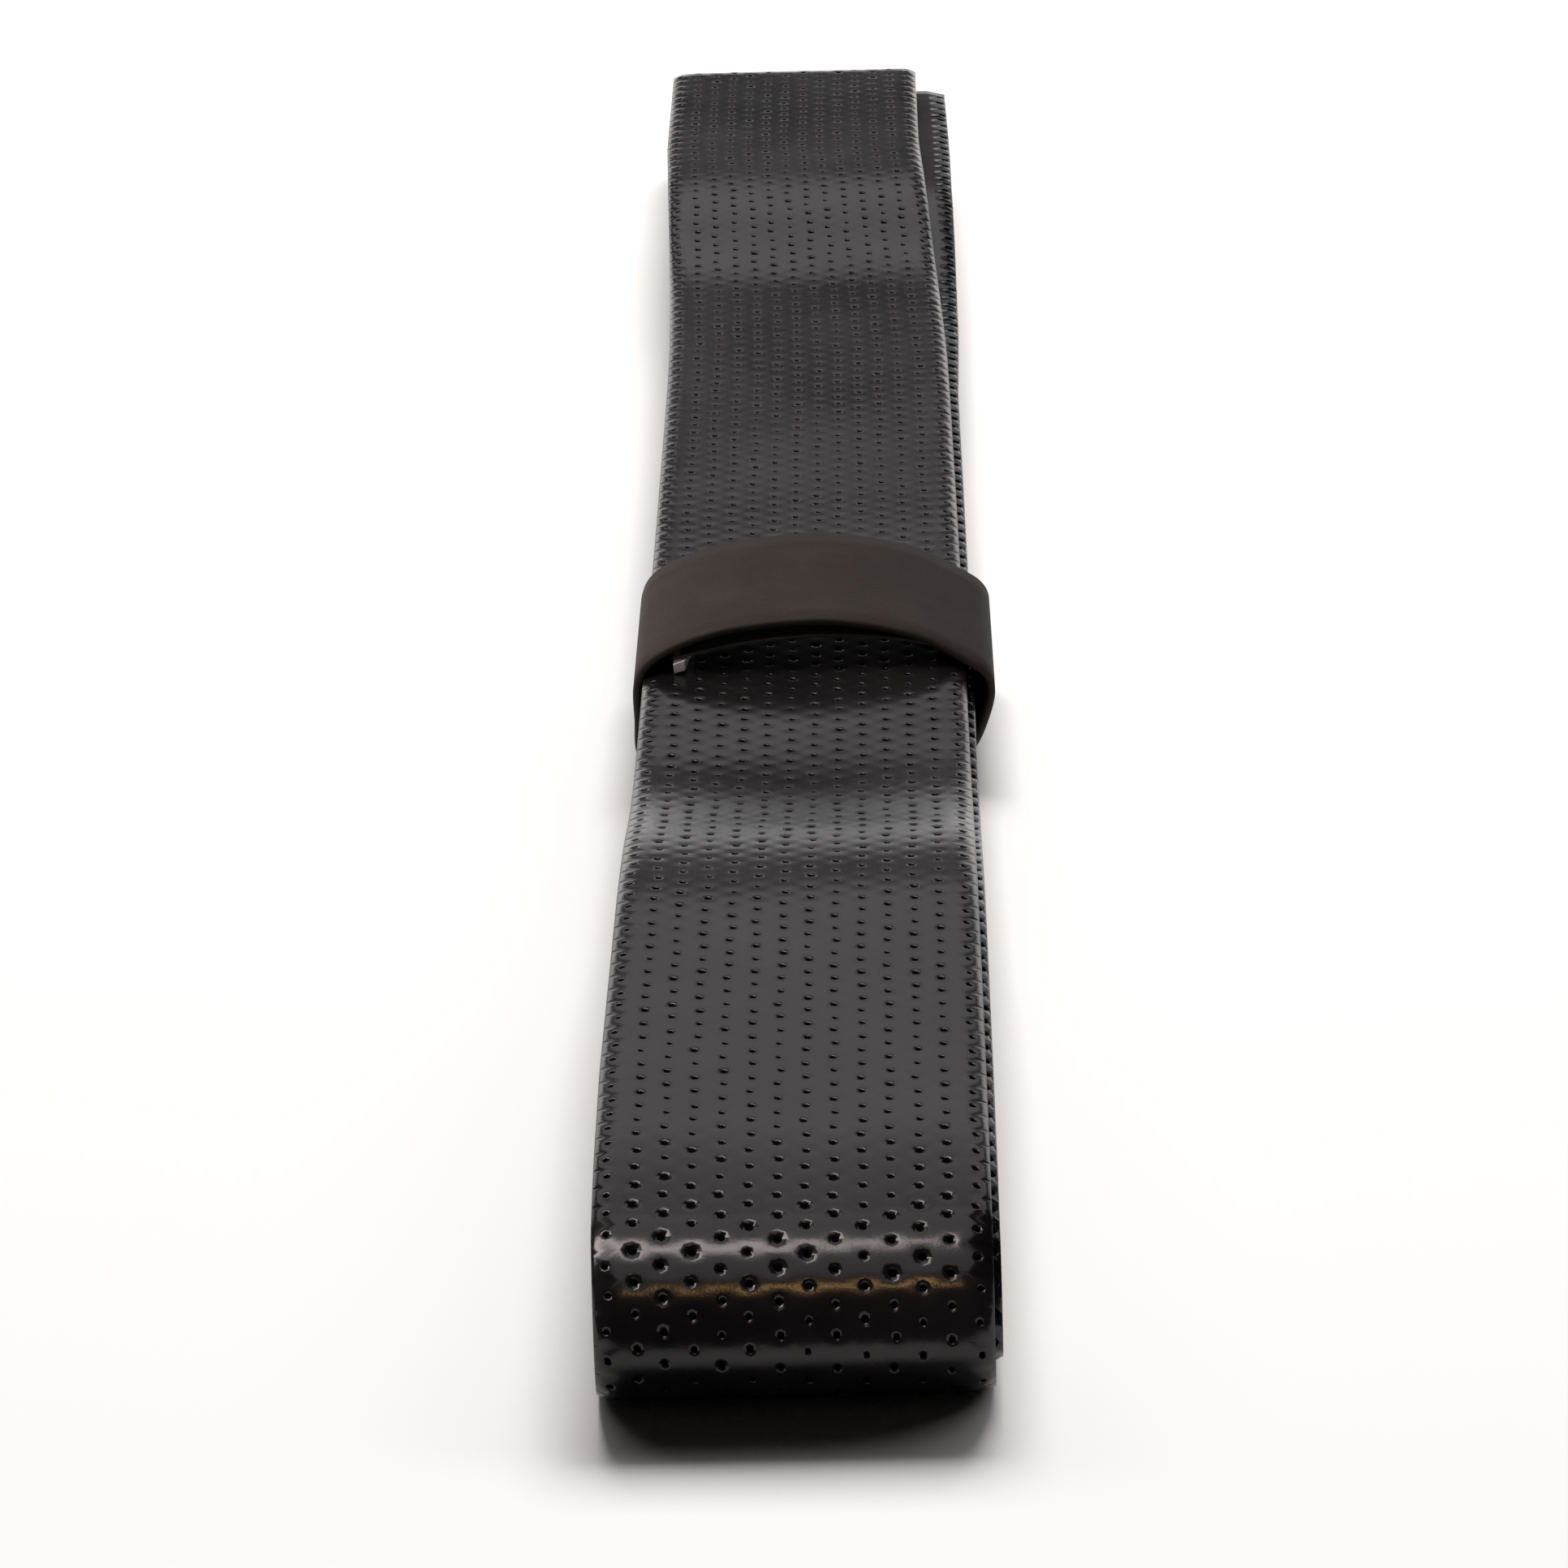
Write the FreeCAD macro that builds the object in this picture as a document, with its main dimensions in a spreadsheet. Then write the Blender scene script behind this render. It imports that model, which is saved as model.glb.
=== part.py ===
"""Grip tape roll: a perforated grip tape wound flat in two turns, held by a rubber collar.

Frame: +Z up, +Y along the roll from its near fold to its far fold, X across the tape.
The origin is at the centre of the bounding box, on its bottom.
"""

import FreeCAD
import Part
import Sketcher

import math
import os

Vector = FreeCAD.Vector

SIZES = {
    # the tape, layer by layer from its outer face
    "tape_width": 25.0,
    "skin_thick": 0.5,
    "cushion_thick": 1.0,
    "adhesive_thick": 0.15,
    "film_thick": 0.15,
    "adhesive_width": 21.0,
    "film_width": 23.0,
    # the winding
    "roll_length": 276.0,
    "near_rise": 3.6,
    "near_level": 48.0,
    "near_slope_run": 38.0,
    "far_rise": 2.4,
    "far_level": 34.0,
    "far_slope_run": 34.0,
    "shoulder_radius": 60.0,
    "shoulder_turn": 10.0,
    "brow_turn": 66.0,
    "fold_radius": 0.4,
    "end_gap": 1.5,
    "core_gap": 0.1,
    # the rubber collar
    "collar_width": 20.0,
    "collar_thick": 0.75,
    "collar_from_tip": 106.0,
    "collar_arch": 3.0,
    "collar_offset": 0.45,
    "collar_side_gap": 0.35,
    "collar_corner": 0.6,
    "slide_gap": 0.35,
    # the finishing tape under the collar's arch
    "finish_width": 19.0,
    "finish_length": 20.0,
    "finish_crown": 1.2,
    "finish_film_thick": 0.2,
    "finish_adhesive_thick": 0.15,
    "finish_liner_thick": 0.15,
}

doc = FreeCAD.newDocument("grip_tape_roll")
sheet = doc.addObject("Spreadsheet::Sheet", "Sizes")
for row, (alias, size) in enumerate(SIZES.items(), start=1):
    sheet.set(f"A{row}", alias)
    sheet.set(f"B{row}", str(size))
    sheet.setAlias(f"B{row}", alias)
doc.recompute()


def size(alias):
    """A driving dimension, as the sheet holds it."""
    return float(sheet.get(alias))


TAPE_THICK = size("skin_thick") + size("cushion_thick") + size("adhesive_thick") + size("film_thick")
MIDDLE_BOTTOM = size("collar_thick") + size("slide_gap")  # the roll's underside where it is flat
HALF_LENGTH = size("roll_length") / 2


class Track:
    """A run of straights and tangent arcs in the YZ plane, which gives its own parallel curves.

    The outer side is on the right of the way it runs. A positive turn is to the left, so the
    outer side of such an arc is its convex side.
    """

    def __init__(self, y, z, heading):
        self.start = (y, z, math.radians(heading))
        self.y, self.z, self.heading = self.start
        self.steps = []

    def straight(self, length):
        if length > 1e-6:
            self.steps.append((length, 0.0, 0.0))
            self.y += length * math.cos(self.heading)
            self.z += length * math.sin(self.heading)
        return self

    def arc(self, radius, degrees):
        self.steps.append((0.0, radius, math.radians(degrees)))
        self.y, self.z, self.heading = self.swing(self.y, self.z, self.heading, radius, math.radians(degrees))
        return self

    @staticmethod
    def swing(y, z, heading, radius, turn):
        """The place and heading after an arc."""
        side = math.copysign(1.0, turn)
        centre_y = y - side * radius * math.sin(heading)
        centre_z = z + side * radius * math.cos(heading)
        after = heading + turn
        return centre_y + side * radius * math.sin(after), centre_z - side * radius * math.cos(after), after

    def edges(self, out):
        """The edges of the curve that runs parallel to this one, out to its outer side."""
        y, z, heading = self.start
        y += out * math.sin(heading)
        z -= out * math.cos(heading)
        made = []
        for length, radius, turn in self.steps:
            first = Vector(0, y, z)
            if turn:
                offset_radius = radius + math.copysign(out, turn)
                mid_y, mid_z, _ = self.swing(y, z, heading, offset_radius, turn / 2)
                y, z, heading = self.swing(y, z, heading, offset_radius, turn)
                made.append(Part.Arc(first, Vector(0, mid_y, mid_z), Vector(0, y, z)).toShape())
            else:
                y += length * math.cos(heading)
                z += length * math.sin(heading)
                made.append(Part.LineSegment(first, Vector(0, y, z)).toShape())
        return made


def slope(track, run, rise, side, out):
    """A gentle S from one level to the next: two arcs that turn opposite ways.

    Side is 1 if the first arc turns left. Out is how far this S lies outside the first turn's.
    """
    turn = 2 * math.atan2(rise, run)
    radius = run / 2 / math.sin(turn)
    track.arc(radius + side * out, side * math.degrees(turn))
    track.arc(radius - side * out, -side * math.degrees(turn))


def fall(start, end):
    """How far an arc of radius 1 drops as its tilt goes from start to end degrees."""
    return math.cos(math.radians(start)) - math.cos(math.radians(end))


def reach(start, end):
    """How far such an arc runs along the roll."""
    return math.sin(math.radians(end)) - math.sin(math.radians(start))


def winding():
    """The tape's inner face, from its hidden end inside the roll to its end under the roll.

    The flat middle of the roll is squeezed; each end swells up by its rise and down to the
    table. The first turn lies on the core line, the second one tape outside it.
    """
    drop = MIDDLE_BOTTOM
    core = drop + 2 * TAPE_THICK
    shoulder, shoulder_turn = size("shoulder_radius"), size("shoulder_turn")
    small, brow_turn = size("fold_radius"), size("brow_turn")
    bent = shoulder_turn + brow_turn
    near_height = size("near_rise") + size("core_gap") + drop
    brow_height = near_height - shoulder * fall(0, shoulder_turn) - small * fall(bent, 180)
    brow = brow_height / fall(shoulder_turn, bent)
    near_reach = shoulder * reach(0, shoulder_turn) + brow * reach(shoulder_turn, bent)
    near_reach += small * reach(bent, 90)
    far_radius = (size("far_rise") + size("core_gap") + drop + TAPE_THICK) / 2
    near_nose = -HALF_LENGTH + 2 * TAPE_THICK + near_reach
    far_nose = HALF_LENGTH - TAPE_THICK - far_radius
    near_foot = -HALF_LENGTH + size("near_level") + 2 * TAPE_THICK
    far_foot = HALF_LENGTH - size("far_level") - 2 * TAPE_THICK
    near_flat = near_foot + size("near_slope_run")
    far_flat = far_foot - size("far_slope_run")

    track = Track(far_nose - size("end_gap"), core + size("core_gap") + size("far_rise"), 180)
    for turn in range(2):
        out = turn * TAPE_THICK
        track.straight(track.y - far_foot)
        slope(track, size("far_slope_run"), size("far_rise"), 1, out)
        track.straight(track.y - near_flat)
        slope(track, size("near_slope_run"), size("near_rise"), -1, out)
        track.straight(track.y - near_nose)
        track.arc(shoulder + out, shoulder_turn)
        track.arc(brow + out, brow_turn)
        track.arc(small + out, 180 - bent)
        track.straight(near_foot - track.y)
        slope(track, size("near_slope_run"), drop, 1, out)
        track.straight(far_flat - track.y)
        slope(track, size("far_slope_run"), drop, -1, out)
        if turn == 0:
            track.straight(far_nose - track.y)
            track.arc(far_radius, 180)
    track.straight(far_nose - size("end_gap") - track.y)
    return track


def bound(thing, name, expression):
    """Ties a property of thing to an expression of the sheet's sizes."""
    thing.setExpression(name, expression)


def tape_layer(label, track, inner, outer, width_alias):
    """One layer of the tape: its edge outline in the YZ plane, drawn out to its width."""
    back = track.edges(inner)
    front = track.edges(outer)
    caps = [
        Part.LineSegment(front[0].Vertexes[0].Point, back[0].Vertexes[0].Point).toShape(),
        Part.LineSegment(back[-1].Vertexes[-1].Point, front[-1].Vertexes[-1].Point).toShape(),
    ]
    wire = Part.Wire(Part.__sortEdges__(back + front + caps))
    outline = doc.addObject("Part::Feature", f"{label}_outline")
    outline.Shape = Part.Face(wire)
    layer = doc.addObject("Part::Extrusion", label)
    layer.Base = outline
    layer.DirMode = "Custom"
    layer.Dir = Vector(1, 0, 0)
    layer.Solid = True
    layer.Symmetric = True
    bound(layer, "LengthFwd", f"Sizes.{width_alias}")
    bound(layer, "Placement.Base.x", "-Sizes.collar_offset")
    layer.Label = label
    return layer


def plane_of(body, role):
    """One of a body's own planes."""
    return next(f for f in body.Origin.OriginFeatures if f.Role == role)


TAPE_STACK = (
    "(4 * (Sizes.skin_thick + Sizes.cushion_thick + Sizes.adhesive_thick + Sizes.film_thick)"
    " + Sizes.core_gap)"
)
INNER_HALF = "(Sizes.tape_width / 2 + Sizes.collar_side_gap + Sizes.collar_offset)"
SHOULDER = f"(Sizes.collar_thick + 2 * Sizes.slide_gap + {TAPE_STACK})"
COLLAR_Y = "-Sizes.roll_length / 2 + Sizes.collar_from_tip + Sizes.collar_width / 2"
FINISH_RADIUS = "(((Sizes.finish_width / 2) ^ 2 + Sizes.finish_crown ^ 2) / (2 * Sizes.finish_crown))"
FINISH_BOTTOM = f"({SHOULDER} + Sizes.finish_crown)"


def collar_outline(body, name, wall):
    """A flat base, two upright sides and an arched top. Wall is the rubber outside this outline."""
    sketch = body.newObject("Sketcher::SketchObject", name)
    sketch.AttachmentSupport = [(plane_of(body, "XZ_Plane"), "")]
    sketch.MapMode = "FlatFace"
    half, low, high, crown = 14.0, 0.5, 9.0, 12.0
    base = sketch.addGeometry(Part.LineSegment(Vector(-half, low, 0), Vector(half, low, 0)))
    right = sketch.addGeometry(Part.LineSegment(Vector(half, low, 0), Vector(half, high, 0)))
    arch = sketch.addGeometry(Part.Arc(Vector(half, high, 0), Vector(0, crown, 0), Vector(-half, high, 0)))
    left = sketch.addGeometry(Part.LineSegment(Vector(-half, high, 0), Vector(-half, low, 0)))
    constraint = Sketcher.Constraint
    sketch.addConstraint(constraint("Coincident", base, 2, right, 1))
    sketch.addConstraint(constraint("Coincident", right, 2, arch, 1))
    sketch.addConstraint(constraint("Coincident", arch, 2, left, 1))
    sketch.addConstraint(constraint("Coincident", left, 2, base, 1))
    sketch.addConstraint(constraint("Vertical", right))
    sketch.addConstraint(constraint("Vertical", left))
    sketch.addConstraint(constraint("Symmetric", base, 1, base, 2, -2))
    sketch.addConstraint(constraint("PointOnObject", arch, 3, -2))
    grown = f"({wall})"
    sized = {
        "half_width": (constraint("DistanceX", -1, 1, base, 2, half), f"{INNER_HALF} + {grown}"),
        "base_height": (constraint("DistanceY", -1, 1, base, 2, low), f"Sizes.collar_thick - {grown}"),
        "shoulder": (constraint("DistanceY", -1, 1, right, 2, high), SHOULDER),
        "arch_radius": (
            constraint("Radius", arch, 30.0),
            f"(({INNER_HALF} + {grown}) ^ 2 + (Sizes.collar_arch + {grown}) ^ 2)"
            f" / (2 * (Sizes.collar_arch + {grown}))",
        ),
    }
    for title, (made, expression) in sized.items():
        index = sketch.addConstraint(made)
        sketch.renameConstraint(index, title)
        bound(sketch, f"Constraints.{title}", expression)
    return sketch


def long_edges(shape):
    """The names of the corner edges that run along the roll."""
    names = []
    for number, edge in enumerate(shape.Edges, start=1):
        ends = edge.Vertexes
        if edge.Curve.TypeId == "Part::GeomLine" and abs(ends[0].Y - ends[-1].Y) > 1:
            names.append(f"Edge{number}")
    return names


def round_corners(body, name, base, expression):
    """Rounds every edge of base along the roll, and returns the fillet."""
    fillet = body.newObject("PartDesign::Fillet", name)
    fillet.Base = (base, long_edges(base.Shape))
    fillet.Radius = 1.0
    bound(fillet, "Radius", expression)
    doc.recompute()
    return fillet


def arched_block(name, wall, length, corner):
    """The collar's solid outside, or the space inside it, with rounded corners."""
    body = doc.addObject("PartDesign::Body", name)
    pad = body.newObject("PartDesign::Pad", f"{name}_pad")
    pad.Profile = collar_outline(body, f"{name}_outline", wall)
    pad.SideType = "Symmetric"
    bound(pad, "Length", length)
    doc.recompute()
    round_corners(body, f"{name}_corners", pad, corner)
    return body


def rubber_collar():
    """The wide rubber band that holds the winding shut, arched over the finishing tape."""
    wall = "Sizes.collar_thick"
    collar = doc.addObject("Part::Cut", "rubber_collar")
    collar.Base = arched_block("collar_outside", wall, "Sizes.collar_width", f"Sizes.collar_corner + {wall}")
    collar.Tool = arched_block("collar_inside", "0", "Sizes.collar_width + 2", "Sizes.collar_corner")
    collar.Label = "rubber_collar"
    bound(collar, "Placement.Base.y", COLLAR_Y)
    return collar


def curl(name, grown):
    """A cylinder along the roll, whose top lies grown above the finishing tape's lower face."""
    round_bar = doc.addObject("Part::Cylinder", name)
    bound(round_bar, "Radius", f"{FINISH_RADIUS} + {grown}")
    bound(round_bar, "Height", "Sizes.finish_length")
    round_bar.Placement = FreeCAD.Placement(Vector(0, 0, 0), FreeCAD.Rotation(Vector(1, 0, 0), 90))
    bound(round_bar, "Placement.Base.x", "-Sizes.collar_offset")
    bound(round_bar, "Placement.Base.y", f"{COLLAR_Y} + Sizes.finish_length / 2")
    bound(round_bar, "Placement.Base.z", f"{FINISH_BOTTOM} - {FINISH_RADIUS}")
    return round_bar


def finishing_layer(label, below, above):
    """One layer of the finishing tape, curled up under the arch: a slice of a tube wall."""
    tube = doc.addObject("Part::Cut", f"{label}_tube")
    tube.Base = curl(f"{label}_outside", above)
    tube.Tool = curl(f"{label}_inside", below)
    slab = doc.addObject("Part::Box", f"{label}_slab")
    bound(slab, "Length", "Sizes.finish_width")
    bound(slab, "Width", "Sizes.finish_length")
    bound(slab, "Height", "4 * Sizes.finish_crown")
    bound(slab, "Placement.Base.x", "-Sizes.finish_width / 2 - Sizes.collar_offset")
    bound(slab, "Placement.Base.y", f"{COLLAR_Y} - Sizes.finish_length / 2")
    bound(slab, "Placement.Base.z", f"{FINISH_BOTTOM} - 2 * Sizes.finish_crown")
    layer = doc.addObject("Part::Common", label)
    layer.Base = tube
    layer.Tool = slab
    layer.Label = label
    return layer


def grip_tape():
    """The tape's layers, from the perforated face in to the release film."""
    track = winding()
    film = size("film_thick")
    glue = film + size("adhesive_thick")
    cushion = glue + size("cushion_thick")
    print(f"tape length {sum(e.Length for e in track.edges(TAPE_THICK / 2)):.1f} mm")
    return [
        tape_layer("grip_skin", track, cushion, TAPE_THICK, "tape_width"),
        tape_layer("grip_cushion", track, glue, cushion, "tape_width"),
        tape_layer("adhesive_strip", track, film, glue, "adhesive_width"),
        tape_layer("release_film", track, 0.0, film, "film_width"),
    ]


def finishing_tape():
    """The finishing tape's layers, from its white liner up to its film."""
    liner = "Sizes.finish_liner_thick"
    adhesive = f"({liner} + Sizes.finish_adhesive_thick)"
    film = f"({adhesive} + Sizes.finish_film_thick)"
    return [
        finishing_layer("finishing_tape_liner", "0", liner),
        finishing_layer("finishing_tape_adhesive", liner, adhesive),
        finishing_layer("finishing_tape_film", adhesive, film),
    ]


def check_document():
    """Stops if any feature failed."""
    for thing in doc.Objects:
        if "Invalid" in thing.State or "Error" in thing.State:
            raise ValueError(f"{thing.Name} failed: {thing.State}")


def export(pieces):
    """Writes each sub-part to parts/LABEL.step, once every one of them is sound."""
    for piece in pieces:
        if piece.Shape.isNull() or not piece.Shape.isValid() or piece.Shape.Volume <= 0:
            raise ValueError(f"{piece.Label} has no sound shape")
    os.makedirs("parts", exist_ok=True)
    for piece in pieces:
        piece.Shape.exportStep(os.path.join("parts", f"{piece.Label}.step"))
        box = piece.Shape.BoundBox
        print(
            f"{piece.Label}: {piece.Shape.Volume:.0f} mm3, {len(piece.Shape.Solids)} solid, "
            f"x {box.XMin:.2f} {box.XMax:.2f}, y {box.YMin:.2f} {box.YMax:.2f}, z {box.ZMin:.2f} {box.ZMax:.2f}"
        )


pieces = grip_tape() + [rubber_collar()] + finishing_tape()
doc.recompute()
check_document()
export(pieces)
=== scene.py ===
"""Visual model of a racket grip tape roll: the wound tape, its rubber collar and the finishing tape."""

from __future__ import annotations

import logging
import math
from dataclasses import dataclass, field
from enum import Enum

import bpy
import numpy as np
from mathutils import Matrix, Vector

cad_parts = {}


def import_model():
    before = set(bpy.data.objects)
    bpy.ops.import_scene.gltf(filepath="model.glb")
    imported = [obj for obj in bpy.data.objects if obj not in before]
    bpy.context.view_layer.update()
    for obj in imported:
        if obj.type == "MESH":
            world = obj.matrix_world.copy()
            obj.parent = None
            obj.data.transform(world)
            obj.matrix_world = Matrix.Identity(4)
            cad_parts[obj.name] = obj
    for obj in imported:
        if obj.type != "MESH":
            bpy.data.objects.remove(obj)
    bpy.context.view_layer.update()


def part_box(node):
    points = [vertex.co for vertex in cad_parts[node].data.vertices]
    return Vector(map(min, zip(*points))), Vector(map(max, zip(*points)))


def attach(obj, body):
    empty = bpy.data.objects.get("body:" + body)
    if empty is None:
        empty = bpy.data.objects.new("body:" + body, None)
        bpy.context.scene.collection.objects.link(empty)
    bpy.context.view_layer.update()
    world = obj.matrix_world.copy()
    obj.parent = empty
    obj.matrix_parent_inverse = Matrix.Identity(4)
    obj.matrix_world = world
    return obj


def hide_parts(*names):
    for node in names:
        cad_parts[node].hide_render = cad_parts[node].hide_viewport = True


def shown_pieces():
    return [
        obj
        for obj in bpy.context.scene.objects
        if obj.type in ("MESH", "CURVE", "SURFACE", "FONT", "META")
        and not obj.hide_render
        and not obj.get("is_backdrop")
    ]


LOG = logging.getLogger("grip_tape_roll")
MM = 0.001
Number = float | np.ndarray


class Slot(Enum):
    """The record's material slots."""

    SKIN = "grip_skin"
    CUSHION = "grip_cushion"
    ADHESIVE = "adhesive"
    RELEASE = "release_film"
    COLLAR = "collar_rubber"
    FILM = "finishing_film"
    LINER = "finishing_liner"


class Body(Enum):
    """The rigid bodies that pieces ride on."""

    ROLL = "roll"
    COLLAR = "collar"
    FINISHING = "finishing_tape"


# ---------------------------------------------------------------- shader maths


class Term:
    """A shader socket that takes part in Python arithmetic."""

    def __init__(self, shader: "Shader", socket: bpy.types.NodeSocket) -> None:
        """Wraps a socket of the given shader's tree."""
        self.shader = shader
        self.socket = socket

    def _math(self, operation: str, *values: "Term | float") -> "Term":
        """Adds one Math node.

        Args:
            operation: the node's operation.
            values: its inputs, in order.

        Returns:
            The node's output.
        """
        return self.shader.node("ShaderNodeMath", {"operation": operation}, dict(enumerate(values)))

    def __add__(self, other: "Term | float") -> "Term":
        """The sum."""
        return self._math("ADD", self, other)

    def __radd__(self, other: float) -> "Term":
        """The sum, with a number first."""
        return self._math("ADD", other, self)

    def __mul__(self, other: "Term | float") -> "Term":
        """The product."""
        return self._math("MULTIPLY", self, other)

    def __rmul__(self, other: float) -> "Term":
        """The product, with a number first."""
        return self._math("MULTIPLY", other, self)


class Shader:
    """One material and its node tree."""

    def __init__(self, name: str) -> None:
        """Starts a material with one Principled shader."""
        self.material = bpy.data.materials.new(name)
        self.material.use_nodes = True
        self.tree = self.material.node_tree
        self.principled = self.tree.nodes["Principled BSDF"]

    def node(
        self, kind: str, settings: dict | None = None, inputs: dict | None = None, out: int | str = 0
    ) -> Term:
        """Adds any node.

        Args:
            kind: the node's type.
            settings: properties, set before the inputs.
            inputs: socket name or number to a value or a Term.
            out: the output wanted.

        Returns:
            That output.
        """
        made = self.tree.nodes.new(kind)
        for key, value in (settings or {}).items():
            if key == "stops":
                self._stops(made.color_ramp, value)
            else:
                setattr(made, key, value)
        for key, value in (inputs or {}).items():
            self._feed(made.inputs[key], value)
        return Term(self, made.outputs[out])

    @staticmethod
    def _stops(ramp: bpy.types.ColorRamp, stops: tuple) -> None:
        """Places a ramp's two stops.

        Args:
            ramp: the node's ramp.
            stops: for each stop, its position and its grey level.
        """
        for element, (position, level) in zip(ramp.elements, stops):
            element.position = position
            element.color = (level, level, level, 1.0)

    def _feed(self, socket: bpy.types.NodeSocket, value: object) -> None:
        """Links a Term to a socket, or sets its value.

        Args:
            socket: the input to feed.
            value: a Term, or a constant of the socket's kind.
        """
        if isinstance(value, Term):
            self.tree.links.new(value.socket, socket)
        else:
            socket.default_value = value

    def mix(self, factor: Term, low: tuple | Term, high: tuple | Term) -> Term:
        """A colour between two colours."""
        settings = {"data_type": "RGBA"}
        return self.node("ShaderNodeMix", settings, {0: factor, 6: low, 7: high}, 2)

    def where(self) -> Term:
        """The object coordinates, in metres."""
        return self.node("ShaderNodeTexCoord", out="Object")

    def noise(self, size_mm: float, detail: float = 3.0, roughness: float = 0.5) -> Term:
        """Noise whose features are about size_mm across, from 0 to 1."""
        scale = 1.0 / (size_mm * MM)
        inputs = {"Vector": self.where(), "Scale": scale, "Detail": detail, "Roughness": roughness}
        return self.node("ShaderNodeTexNoise", {"noise_dimensions": "3D"}, inputs)

    def cells(self, size_mm: float) -> Term:
        """The distance to the middle of the nearest of many cells, about size_mm across."""
        return self.node("ShaderNodeTexVoronoi", {}, {"Vector": self.where(), "Scale": 1 / (size_mm * MM)})

    def ramp(self, value: Term, low: float, high: float) -> Term:
        """Stretches the part of value from low to high over 0 to 1."""
        return self.node("ShaderNodeValToRGB", {"stops": ((low, 0.0), (high, 1.0))}, {0: value})

    def bump(self, height: Term, depth_mm: float) -> Term:
        """A normal bent by a height that is depth_mm deep at most."""
        inputs = {"Height": height, "Distance": depth_mm * MM, "Strength": 1.0}
        return self.node("ShaderNodeBump", {}, inputs)

    def surface(self, **sockets: object) -> bpy.types.Material:
        """Sets the Principled shader's sockets, named with underscores for spaces.

        Args:
            sockets: constants or Terms.

        Returns:
            The material.
        """
        for key, value in sockets.items():
            self._feed(self.principled.inputs[key.replace("_", " ")], value)
        return self.material


def colour(red: float, green: float, blue: float) -> tuple[float, float, float, float]:
    """An opaque linear colour."""
    return (red, green, blue, 1.0)


# ---------------------------------------------------------------- finishes


@dataclass(frozen=True)
class SatinSkin:
    """Charcoal polyurethane: a near-black body under a satin, finely grained face."""

    body: tuple = colour(0.0062, 0.0056, 0.0062)
    bloom: tuple = colour(0.0125, 0.0112, 0.0120)
    grain_mm: float = 0.16
    grain_depth_mm: float = 0.006
    swell_mm: float = 2.6
    bloom_mm: float = 9.0
    wipe_mm: float = 16.0
    gloss: float = 0.155
    wipe_rough: float = 0.06
    grain_rough: float = 0.04
    specular: float = 0.36

    def material(self) -> bpy.types.Material:
        """Mixes the face's material.

        Returns:
            The material.
        """
        shader = Shader("grip_skin_face")
        cloud = shader.ramp(shader.noise(self.bloom_mm, 4.0, 0.6), 0.42, 0.72)
        grain = shader.noise(self.grain_mm, 2.0)
        swell = shader.noise(self.swell_mm, 2.0)
        wipe = shader.ramp(shader.noise(self.wipe_mm, 3.0), 0.35, 0.75)
        height = grain * 0.7 + swell * 0.3
        return shader.surface(
            Base_Color=shader.mix(cloud, self.body, self.bloom),
            Roughness=self.gloss + wipe * self.wipe_rough + grain * self.grain_rough,
            Normal=shader.bump(height, self.grain_depth_mm),
            Specular_IOR_Level=self.specular,
        )


@dataclass(frozen=True)
class PerforationPaintedShade:
    """Near-black colour painted inside a perforation as its shade, far darker than the skin or the foam; the
    fibre mottling on it is texture.
    """

    # painted shade: this near-black colour stands in for the shade inside a hole
    body: tuple = colour(0.0015, 0.0013, 0.0016)
    fibre_mm: float = 0.12
    fibre_shade: float = 0.4

    def material(self) -> bpy.types.Material:
        """Mixes the hole's painted-shade material.

        Returns:
            The material.
        """
        shader = Shader("perforation_painted_shade")
        fibre = shader.noise(self.fibre_mm, 2.0)
        darker = colour(*(self.fibre_shade * channel for channel in self.body[:3]))
        return shader.surface(
            Base_Color=shader.mix(fibre, darker, self.body),
            Roughness=0.9,
            Specular_IOR_Level=0.1,
        )


@dataclass(frozen=True)
class Foam:
    """Dark closed-cell foam, as its cut edge shows it."""

    body: tuple = colour(0.010, 0.010, 0.011)
    cell: tuple = colour(0.030, 0.030, 0.033)
    cell_mm: float = 0.22
    cell_depth_mm: float = 0.06

    def material(self) -> bpy.types.Material:
        """Mixes the cushion's material.

        Returns:
            The material.
        """
        shader = Shader("cushion_foam")
        cells = shader.cells(self.cell_mm)
        return shader.surface(
            Base_Color=shader.mix(shader.ramp(cells, 0.15, 0.7), self.body, self.cell),
            Roughness=0.88,
            Specular_IOR_Level=0.25,
            Normal=shader.bump(cells, self.cell_depth_mm),
        )


@dataclass(frozen=True)
class ThinFilm:
    """A thin film, paper or adhesive layer, with faint creases."""

    name: str
    low: tuple
    high: tuple
    gloss: float
    crease_mm: float = 3.0
    crease_depth_mm: float = 0.02
    crease_rough: float = 0.08

    def material(self) -> bpy.types.Material:
        """Mixes the layer's material.

        Returns:
            The material.
        """
        shader = Shader(self.name)
        crease = shader.noise(self.crease_mm, 3.0)
        return shader.surface(
            Base_Color=shader.mix(crease, self.low, self.high),
            Roughness=self.gloss + crease * self.crease_rough,
            Normal=shader.bump(crease, self.crease_depth_mm),
        )


@dataclass(frozen=True)
class MattRubber:
    """Warm grey-brown rubber with a dusty, finely pebbled face."""

    body: tuple = colour(0.0235, 0.0178, 0.0146)
    dust: tuple = colour(0.034, 0.0267, 0.0220)
    dust_mm: float = 5.0
    pebble_mm: float = 0.22
    pebble_depth_mm: float = 0.03
    pebble_rough: float = 0.16

    def material(self) -> bpy.types.Material:
        """Mixes the collar's material.

        Returns:
            The material.
        """
        shader = Shader("collar_rubber")
        cloud = shader.ramp(shader.noise(self.dust_mm, 4.0, 0.6), 0.35, 0.7)
        pebble = shader.noise(self.pebble_mm, 3.0)
        return shader.surface(
            Base_Color=shader.mix(cloud, self.body, self.dust),
            Roughness=0.62 + pebble * self.pebble_rough,
            Specular_IOR_Level=0.2,
            Normal=shader.bump(pebble, self.pebble_depth_mm),
        )


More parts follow.
